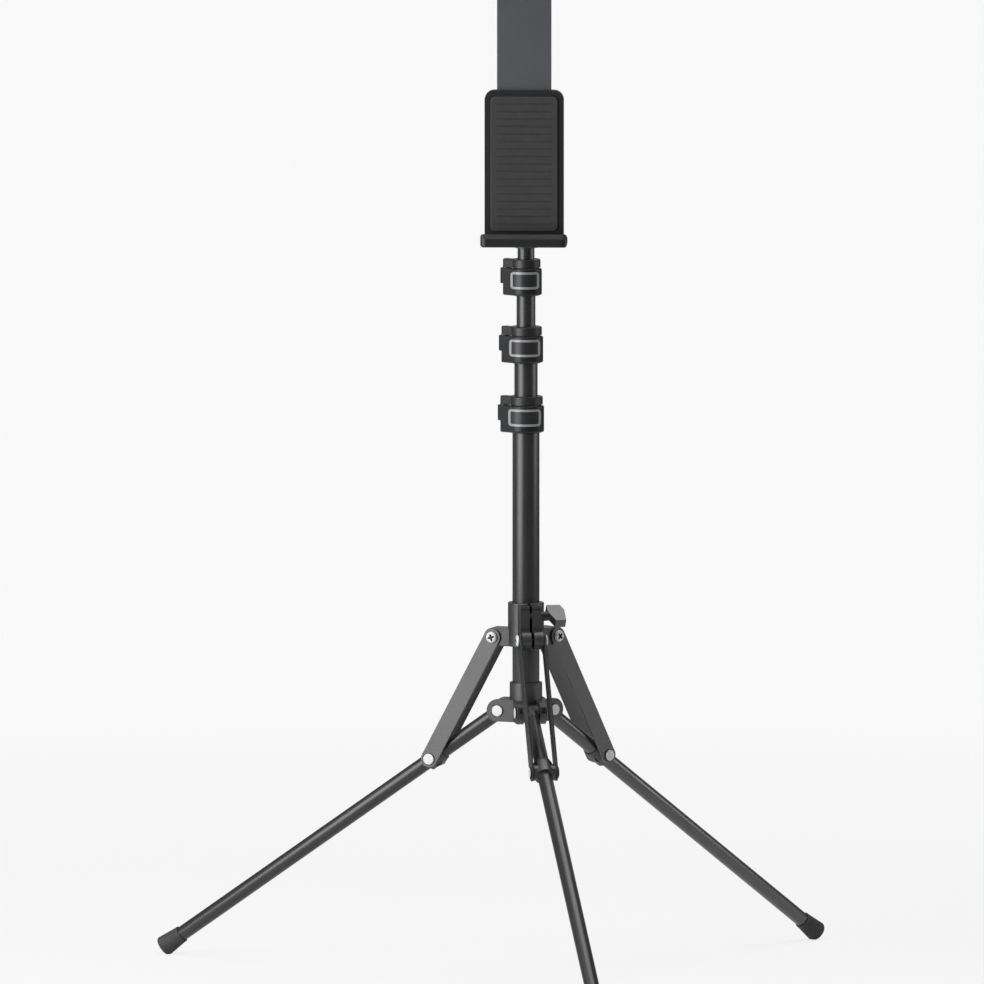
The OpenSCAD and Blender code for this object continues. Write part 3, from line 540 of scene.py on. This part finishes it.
def screwHead(shape):
    r, h, seat = shape["radius"], shape["height"], domeShape["seat"]
    dome = [(r - inset, h * share) for inset, share in domeShape["points"]]
    shank = shankPoints(shape["shank"], shape["shankLength"])
    return shank + [(r - seat, 0.0), (r, seat)] + dome + [(0.0, h)]


def markPaintedShade(obj, rule):  # face attribute: 1 where shade is painted
    hollow = obj.data.attributes.new("recess", "FLOAT", "FACE")
    hollow.data.foreach_set("value", [float(rule(f.center)) for f in obj.data.polygons])
    return obj


def crossCut(obj, shape):  # a head with a cross recess, a little narrower at its bottom
    arm, half, top, depth = shape["cross"] / 2, shape["slot"] / 2, shape["height"], shape["depth"]
    corner = [(half, half), (half, arm), (-half, arm)]
    outline = [Matrix.Rotation(math.pi / 2 * k, 2) @ Vector(c) for k in range(4) for c in corner]
    levels = ((top - depth, crossShape["floor"]), (top + crossShape["past"], crossShape["mouth"]))
    bm = bmesh.new()
    rings = [[bm.verts.new((c.x * share * mm, c.y * share * mm, z * mm)) for c in outline]
             for z, share in levels]
    bm.faces.new(rings[0])
    bm.faces.new(rings[1])
    for k in range(len(outline)):
        n = (k + 1) % len(outline)
        bm.faces.new((rings[0][k], rings[0][n], rings[1][n], rings[1][k]))
    bmesh.ops.recalc_face_normals(bm, faces=bm.faces)
    mesh = bpy.data.meshes.new("crossTool")
    bm.to_mesh(mesh)
    bm.free()
    tool = addObject("crossTool", mesh)
    cut = obj.modifiers.new("cut", "BOOLEAN")
    cut.operation, cut.object, cut.solver = "DIFFERENCE", tool, "EXACT"
    obj = baked(obj, obj.name + "Crossed")
    bpy.data.objects.remove(tool)

    # faces inside the cross recess are marked for painted shade
    def inRecess(c):
        low, high = (top - 2 * depth) * mm, (top - crossShape["skin"]) * mm
        return math.hypot(c.x, c.y) < arm * mm and low < c.z < high

    return markPaintedShade(obj, inRecess)


def paintShadeOnRim(obj):  # a rivet head whose rolled rim below its crown is marked for painted shade
    edge = (rivetShape["height"] - rivetShape["crown"] - rivetShape["round"] * rivetShape["rimShare"]) * mm
    return markPaintedShade(obj, lambda c: c.z < edge)


# angles in degrees: where heads shade sharply, and the turns over which their edges are marked for wear and
# painted highlight
headEdges = {"sharp": 50.0, "wearLow": 30.0, "wearHigh": 70.0}


def headSet(name, nodes, body, spots, source, look):
    seed = bpy.data.meshes.new(name + "Points")
    seed.from_pydata([p for p, _ in spots], [], [])
    aims = seed.attributes.new("aim", "FLOAT_VECTOR", "POINT")
    aims.data.foreach_set("vector", [c for _, a in spots for c in a])
    obj = heads.make(name, seed, Head=source, Material=look)
    bpy.data.objects.remove(source)
    obj.data.set_sharp_from_angle(angle=math.radians(headEdges["sharp"]))
    markEdges(obj.data, headEdges["wearLow"], headEdges["wearHigh"])
    return dress(obj, body, nodes)


def spotsBeside(centre, side, offset):  # a pair of points on both sides of a pivot, looking outwards
    return [(centre + side * s * offset * mm, side * s) for s in (-1, 1)]


# half widths of the pivots, in mm, to the seats of their heads
pivot = {"ear": 11.9, "bar": 10.75, "screw": 10.9}
spots = []
for i in (1, 2, 3):
    hinge = joints[f"leg_{i}_fold"]
    spots += spotsBeside(Vector(hinge["pos_m"]), Vector(hinge["axis"]), pivot["ear"])
headSet("hubRivets", ["hub_rivets"], "column", spots,
        paintShadeOnRim(lathe("hubRivet", rivetHead(rivetShape["hubShank"]))), looks["bright_steel"])
spots = []
for i in (1, 2, 3):
    swing = joints[f"brace_{i}_swing"]
    spots += spotsBeside(Vector(swing["pos_m"]), Vector(swing["axis"]), pivot["screw"])
    start, axis = legAxis[i]
    foot = start + axis * legShape["brace"] * mm
    headSet(f"brace{i}Rivets", [f"brace_{i}_rivets"], f"brace_{i}",
            spotsBeside(foot, Vector(swing["axis"]), pivot["bar"]),
            paintShadeOnRim(lathe("braceRivet", rivetHead(rivetShape["braceShank"]))), looks["bright_steel"])
headSet("collarScrews", ["collar_screws"], "collar", spots,
        crossCut(lathe("collarScrew", screwHead(screwShape)), screwShape), looks["bright_steel"])

# four small screws in the holder's back shell, set on it from behind; sizes and places in mm
shellScrew = {"radius": 2.6, "height": 1.1, "shank": 1.2, "shankLength": 0.6, "cross": 3.0, "slot": 0.8,
              "depth": 0.7}
shellPlace = {"side": 24.0, "aboveFoot": 20.0, "belowTop": 8.0, "behind": 200.0}
low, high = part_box("holder_front")
spots = []
for x in (-1, 1):
    for z in (low.z + shellPlace["aboveFoot"] * mm, high.z - shellPlace["belowTop"] * mm):
        place = Vector((x * shellPlace["side"] * mm, high.y + shellPlace["behind"] * mm, z))
        _, at, _, _ = cad["holder_back"].ray_cast(place, Vector((0, -1, 0)))
        spots.append((at, Vector((0, 1, 0))))
screws = headSet("shellScrews", [], "holder", spots,
                 crossCut(lathe("shellScrew", screwHead(shellScrew)), shellScrew), looks["bright_steel"])
print("rivets and screws set")

# moulded and pressed pieces with eased edges, in mm
easing = {"leg_hub": 0.9, "collar": 0.7, "collar_knob": 1.1, "head_base": 0.8, "tilt_arm": 0.8,
          "tilt_knob": 0.6, "thumb_screw": 0.6, "holder_back": 0.9, "holder_front": 0.7, "upper_jaw": 0.7,
          "back_pad": 0.4, "lower_pad": 0.4, "upper_pad": 0.4, "slide_plate": 0.35}
# wider rounding of rims that lie further than this from the mast, in mm; on a lock, past its body's ring
wideRims = {"leg_hub": {"from": 12.6, "round": 0.9}, "collar": {"from": 13.8, "round": 0.9}}
lockRims = {"body": {"past": -1.0, "round": 1.2}, "lever": {"past": 1.0, "round": 1.5}}
# brace_1_left, brace_1_right and brace_3_left take the darker brace coat as painted shade
ownLook = {"holder_front": holderBlack, "holder_back": holderBlack, "upper_jaw": holderBlack,
           "back_pad": padRubber, "lower_pad": padRubber, "upper_pad": padRubber, "collar_knob": knobBlack,
           "brace_1_left": shadowedBarCoat, "brace_1_right": shadowedBarCoat, "brace_3_left": shadowedBarCoat}
for i in (1, 2, 3):
    easing.update({f"leg_{i}_knuckle": 0.5, f"leg_{i}_foot": 0.6, f"leg_{i}_bracket": 0.7,
                   f"brace_{i}_left": 0.35, f"brace_{i}_right": 0.35,
                   f"lock_{i}_body": 0.18, f"lock_{i}_lever": 0.3, f"lock_{i}_frame": 0.12})
    ownLook[f"lock_{i}_body"] = lockBlack
    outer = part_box(f"lock_{i}_body")[1].x / mm
    for kind, rim in lockRims.items():
        wideRims[f"lock_{i}_{kind}"] = {"from": outer + rim["past"], "round": rim["round"]}

# the field inside a lever's frame: its borders run under the middle of the frame's line, in mm
panelShape = {"line": 0.7, "facing": 0.3}


def panelField(node):
    low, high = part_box(node.replace("lever", "frame"))
    inset = Vector((panelShape["line"], 0, panelShape["line"])) * mm
    return low + inset, high - inset


def cutAcross(bm, at, normal):
    bmesh.ops.bisect_plane(bm, geom=bm.verts[:] + bm.edges[:] + bm.faces[:], plane_co=at, plane_no=normal)


def cutPanel(bm, node):
    low, high = panelField(node)
    for normal in ((1, 0, 0), (0, 0, 1)):
        cutAcross(bm, low, normal)
        cutAcross(bm, high, normal)


# the lower jaw's ends, rounded as seen from the front and, at their front corners, from above; in mm
jawEnd = {"round": 2.2, "corner": 4.6, "steps": 6}


def roundJaw(bm, node):
    low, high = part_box(node)
    reach, front = high.x, low.y
    soft, corner = jawEnd["round"] * mm, jawEnd["corner"] * mm
    heights = [v.co.z for v in bm.verts if abs(v.co.x) > reach - soft]
    middle, half = (max(heights) + min(heights)) / 2, (max(heights) - min(heights)) / 2
    cuts = {radius * (1 - math.sin(math.pi / 2 * k / jawEnd["steps"]))
            for radius in (soft, corner) for k in range(jawEnd["steps"])}
    for side in (-1, 1):
        for cut in sorted(cuts):
            cutAcross(bm, (side * (reach - cut), 0, 0), (side, 0, 0))

    def dip(x, radius):  # how far a rounded corner stands back at x
        past = min(radius, max(0.0, abs(x) - reach + radius))
        return radius - math.sqrt(radius * radius - past * past)

    for vert in bm.verts:
        vert.co.z = middle + (vert.co.z - middle) * (half - dip(vert.co.x, soft)) / half
        vert.co.y = max(vert.co.y, front + dip(vert.co.x, corner))


shaping = {"holder_front": roundJaw, **{f"lock_{i}_lever": cutPanel for i in (1, 2, 3)}}
made = {}
for node, edge in easing.items():
    made[node] = eased(node, edge, ownLook.get(node), wide=wideRims.get(node), work=shaping.get(node))
for i in (1, 2, 3):
    mesh = made[f"lock_{i}_lever"].data
    mesh.materials.append(panelGrey)
    low, high = panelField(f"lock_{i}_lever")
    for face in mesh.polygons:
        c = face.center
        inField = low.x < c.x < high.x and low.z < c.z < high.z
        face.material_index = int(inField and face.normal.y < -panelShape["facing"])
# the collar knob's neck, round its bolt, takes the darker holder black as painted shade where the paddle
# shades it; radius in mm
neckRadius = 3.95
turn = joints["collar_knob_turn"]
mesh = made["collar_knob"].data
mesh.materials.append(holderBlack)
for face in mesh.polygons:
    offset = face.center - Vector(turn["pos_m"])
    axis = Vector(turn["axis"])
    face.material_index = int((offset - axis * offset.dot(axis)).length < neckRadius * mm)
print("eased pieces:", len(easing))

# a washer on each lever's pin, in the gap above its cam; radii, height and place in mm
washerShape = {"outer": 3.3, "inner": 1.6, "height": 0.76, "above": -0.38}
for i in (1, 2, 3):
    o, n, h = washerShape["outer"], washerShape["inner"], washerShape["height"]
    pin = Vector(joints[f"lock_{i}_flip"]["pos_m"])
    pin.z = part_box(f"lock_{i}_lever")[1].z + washerShape["above"] * mm
    ring = lathe("camWasherSource", [(n, 0.0), (o, 0.0), (o, h), (n, h), (n, 0.0)])
    washer = headSet(f"camWasher{i}", [], bodyOf[f"lock_{i}_body"], [(pin, zAxis)], ring,
                     looks["black_plastic"])


def dressTrim(obj, node, sharp):  # trim that rides with a node and shares its slot
    obj.data.set_sharp_from_angle(angle=math.radians(sharp))
    dress(obj, bodyOf[node], [])


# ribs in a row on the pads, in mm: face is the ribbed face's axis and side, row the axis of the row
ribShape = {"sides": 16, "sunk": 0.35, "sharp": 50.0}
seatRibs = {"count": 5, "edge": 2.0, "rib": 0.45, "inset": 3.0, "row": 1}
padRibs = {"back_pad": {"count": 17, "edge": 6.0, "rib": 0.6, "inset": 5.0, "row": 2, "face": (1, 0)},
           "lower_pad": {**seatRibs, "face": (2, 1)},
           "upper_pad": {**seatRibs, "face": (2, 0)}}
ribRow = Tree("ribsInARow")
rib = ribRow.node("GeometryNodeMeshCylinder", {"fill_type": "TRIANGLE_FAN"},
                  {"Vertices": ribShape["sides"], "Radius": ribRow.given("Rib", "Float"),
                   "Depth": ribRow.given("Length", "Float")})
row = ribRow.node("GeometryNodeMeshLine", {"mode": "OFFSET"},
                  {"Count": ribRow.given("Count", "Int"), "Start Location": ribRow.given("Start", "Vector"),
                   "Offset": ribRow.given("Step", "Vector")})
ribRow.close(ribRow.node("GeometryNodeInstanceOnPoints", None,
                         {"Points": row, "Instance": rib, "Rotation": (0, math.pi / 2, 0)}))

for node, plan in padRibs.items():
    low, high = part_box(node)
    axis, side = plan["face"]
    down = plan["row"]
    start, step = (low + high) / 2, Vector((0, 0, 0))
    start[axis] = (low[axis], high[axis])[side] + (1, -1)[side] * ribShape["sunk"] * plan["rib"] * mm
    start[down] = low[down] + plan["edge"] * mm
    step[down] = (high[down] - low[down] - 2 * plan["edge"] * mm) / (plan["count"] - 1)
    ribs = ribRow.make(camelName(node) + "Ribs", Count=plan["count"], Start=start, Step=step,
                       Rib=plan["rib"] * mm, Length=high.x - low.x - 2 * plan["inset"] * mm,
                       Material=padRubber)
    dressTrim(ribs, node, ribShape["sharp"])

# grip ribs round the two small knobs, in mm: a knob's axis, and the height and radius of its straight side
gripRibs = {"count": 24, "sides": 12, "rib": 0.6, "sunk": 0.2, "edge": 1.4, "sharp": 50.0}
drums = {"tilt_knob": {"axis": (1, 0, 0), "height": 11.0, "radius": 9.0},
         "thumb_screw": {"axis": (0, 1, 0), "height": 10.0, "radius": 8.0}}
ribRing = Tree("ribsInARing")
rib = ribRing.node("GeometryNodeMeshCylinder", {"fill_type": "TRIANGLE_FAN"},
                   {"Vertices": gripRibs["sides"], "Radius": ribRing.given("Rib", "Float"),
                    "Depth": ribRing.given("Length", "Float")})
circle = ribRing.node("GeometryNodeMeshCircle", {"fill_type": "NONE"},
                      {"Vertices": ribRing.given("Count", "Int"),
                       "Radius": ribRing.given("Radius", "Float")})
ribRing.close(ribRing.node("GeometryNodeInstanceOnPoints", None, {"Points": circle, "Instance": rib}))

for node, drum in drums.items():
    low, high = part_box(node)
    mid, axis = (low + high) / 2, Vector(drum["axis"])
    mid += axis * ((high - mid).dot(axis) - drum["height"] / 2 * mm)
    ribs = ribRing.make(camelName(node) + "Ribs", Count=gripRibs["count"], Rib=gripRibs["rib"] * mm,
                        Radius=(drum["radius"] - gripRibs["sunk"]) * mm,
                        Length=(drum["height"] - 2 * gripRibs["edge"]) * mm, Material=looks[slotOf[node]])
    ribs.data.transform(Matrix.Translation(mid) @ zAxis.rotation_difference(axis).to_matrix().to_4x4())
    dressTrim(ribs, node, gripRibs["sharp"])
print("pads and knobs ribbed")

# the small pieces that are left keep their CAD shape
for node, obj in cad.items():
    if not obj.hide_render:
        obj.data.materials.clear()
        obj.data.materials.append(boltSteel if node == "collar_bolt" else looks[slotOf[node]])

# floor and backdrop: pale to the camera and in reflections, with the shadow kept; lengths in metres
stageLook = {"tone": 0.945, "dark": (0.58,) * 3, "light": (0.64,) * 3, "speck": 2.2, "rough": 0.9,
             "shine": 0.1, "shadow": 0.15, "near": 0.35, "reach": 1.8, "half": 60.0}


def paleStage():
    f = Finish("paleStage")
    ray = f.node("ShaderNodeLightPath", pick="Is Camera Ray")
    shine = f.node("ShaderNodeLightPath", pick="Is Glossy Ray")
    through = f.node("ShaderNodeLightPath", pick="Is Transmission Ray")
    seen = ray + shine + through
    away = f.node("ShaderNodeVectorMath", {"operation": "LENGTH"}, {0: f.place}, pick="Value")
    # the shadow is kept round the object and fades with the distance
    near = 1 - f.ramp(away * (1 / stageLook["reach"]), stageLook["near"], 1.0)
    speck = f.noise(stageLook["speck"], 3.0)
    f.surface(colour=f.mix(speck, stageLook["dark"], stageLook["light"]), rough=stageLook["rough"],
              shine=stageLook["shine"])
    glow = f.node("ShaderNodeEmission", None, {"Color": (stageLook["tone"],) * 3 + (1,), "Strength": 1.0})
    lit = f.node("ShaderNodeMixShader", None,
                 {0: seen * (1 - near * stageLook["shadow"]), 1: Sock(f, f.shader.outputs[0]), 2: glow})
    f.feed(f.tree.nodes["Material Output"].inputs["Surface"], lit)
    return f.material


floorMesh = bpy.data.meshes.new("floor")
floorMesh.from_pydata([(x * stageLook["half"], y * stageLook["half"], 0)
                       for x, y in ((-1, -1), (1, -1), (1, 1), (-1, 1))], [], [(0, 1, 2, 3)])
floor = addObject("floor", floorMesh)
floorMesh.materials.append(paleStage())

# dark cards on the floor, seen only in reflections, keep the black finishes deep: one in front and a ring
cardShape = {"near": -0.8, "far": -14.0, "half": 10.0, "height": 0.003, "tone": 0.03}
ringShape = {"inner": 1.3, "outer": 14.0, "sides": 48, "height": 0.002, "tone": 0.14}
cardPaint = {"dark": (0.0,) * 3, "light": (0.004,) * 3, "mottle": 30.0, "rough": 0.95}


def reflectedCard(name, verts, faces, tone):
    mesh = bpy.data.meshes.new(name)
    mesh.from_pydata(verts, [], faces)
    obj = addObject(name, mesh)
    obj.visible_camera, obj.visible_diffuse, obj.visible_shadow = False, False, False
    f = Finish(name + "Paint")
    mottle = f.mix(f.noise(cardPaint["mottle"]), cardPaint["dark"], cardPaint["light"])
    mesh.materials.append(f.surface(colour=mottle, rough=cardPaint["rough"], shine=0.0))
    f.shader.inputs["Emission Color"].default_value = (tone, tone, tone, 1)
    f.shader.inputs["Emission Strength"].default_value = 1.0


half, near, far = cardShape["half"], cardShape["near"], cardShape["far"]
corners = ((-half, far), (half, far), (half, near), (-half, near))
reflectedCard("frontCard", [(x, y, cardShape["height"]) for x, y in corners], [(0, 1, 2, 3)],
              cardShape["tone"])
n = ringShape["sides"]
turns = [2 * math.pi * k / n for k in range(n)]
reflectedCard("ringCard", [(r * math.cos(t), r * math.sin(t), ringShape["height"])
                           for r in (ringShape["inner"], ringShape["outer"]) for t in turns],
              [(k, (k + 1) % n, n + (k + 1) % n, n + k) for k in range(n)], ringShape["tone"])

world = bpy.data.worlds.new("studio")
world.use_nodes = True
bpy.context.scene.world = world
roomLight = {"tone": (1.0, 1.0, 1.0, 1), "strength": 0.13}
background = world.node_tree.nodes["Background"]
background.inputs["Color"].default_value = roomLight["tone"]
background.inputs["Strength"].default_value = roomLight["strength"]

# soft boxes on the left, on the right, above and behind, and an even soft light from the upper left
lamps = {
    "keyLeft": {"at": (-1.26, -0.98, 0.72), "size": (1.17, 1.36), "watts": 36},
    "sideRight": {"at": (4.0, 0.1, 0.95), "size": (2.2, 1.05), "watts": 32},
    "top": {"at": (0.1, 0.40, 3.0), "size": (2.0, 2.4), "watts": 64},
    "back": {"at": (0.6, 2.6, 1.3), "size": (2.0, 1.8), "watts": 6},
}
even = {"from": (-0.5, -0.6, 1.0), "away": 4.0, "strength": 0.7, "angle": 60.0}
aimAt = Vector((0, 0, 0.40))


def placeLamp(name, light, at):
    obj = addObject(name, light)
    obj.location = at
    obj.rotation_euler = (aimAt - Vector(at)).to_track_quat("-Z", "Y").to_euler()


for name, lamp in lamps.items():
    light = bpy.data.lights.new(name, "AREA")
    light.shape, light.energy = "RECTANGLE", lamp["watts"]
    light.size, light.size_y = lamp["size"]
    placeLamp(name, light, lamp["at"])
sun = bpy.data.lights.new("evenLight", "SUN")
sun.energy, sun.angle = even["strength"], math.radians(even["angle"])
placeLamp("evenLight", sun, aimAt + Vector(even["from"]) * even["away"])

# long lens from a little above, framed as the photograph; sensor in mm, the rest in degrees and metres
shot = {"elevation": 6.0, "azimuth": 1.7, "distance": 20.0, "width": 0.799, "centre": (-0.0276, 0.0, 0.3905),
        "sensor": 36.0, "farClip": 100.0}
camera = bpy.data.cameras.new("camera")
camera.sensor_width = shot["sensor"]
camera.lens = shot["sensor"] * shot["distance"] / shot["width"]
camera.clip_end = shot["farClip"]
rig = addObject("camera", camera)
tilt, swing = math.radians(shot["elevation"]), math.radians(shot["azimuth"])
back = Vector((math.sin(swing) * math.cos(tilt), -math.cos(swing) * math.cos(tilt), math.sin(tilt)))
rig.location = Vector(shot["centre"]) + back * shot["distance"]
rig.rotation_euler = (math.pi / 2 - tilt, 0, swing)
bpy.context.scene.camera = rig
bpy.context.scene.view_settings.view_transform = "Standard"
print("stage, lamps and camera ready")
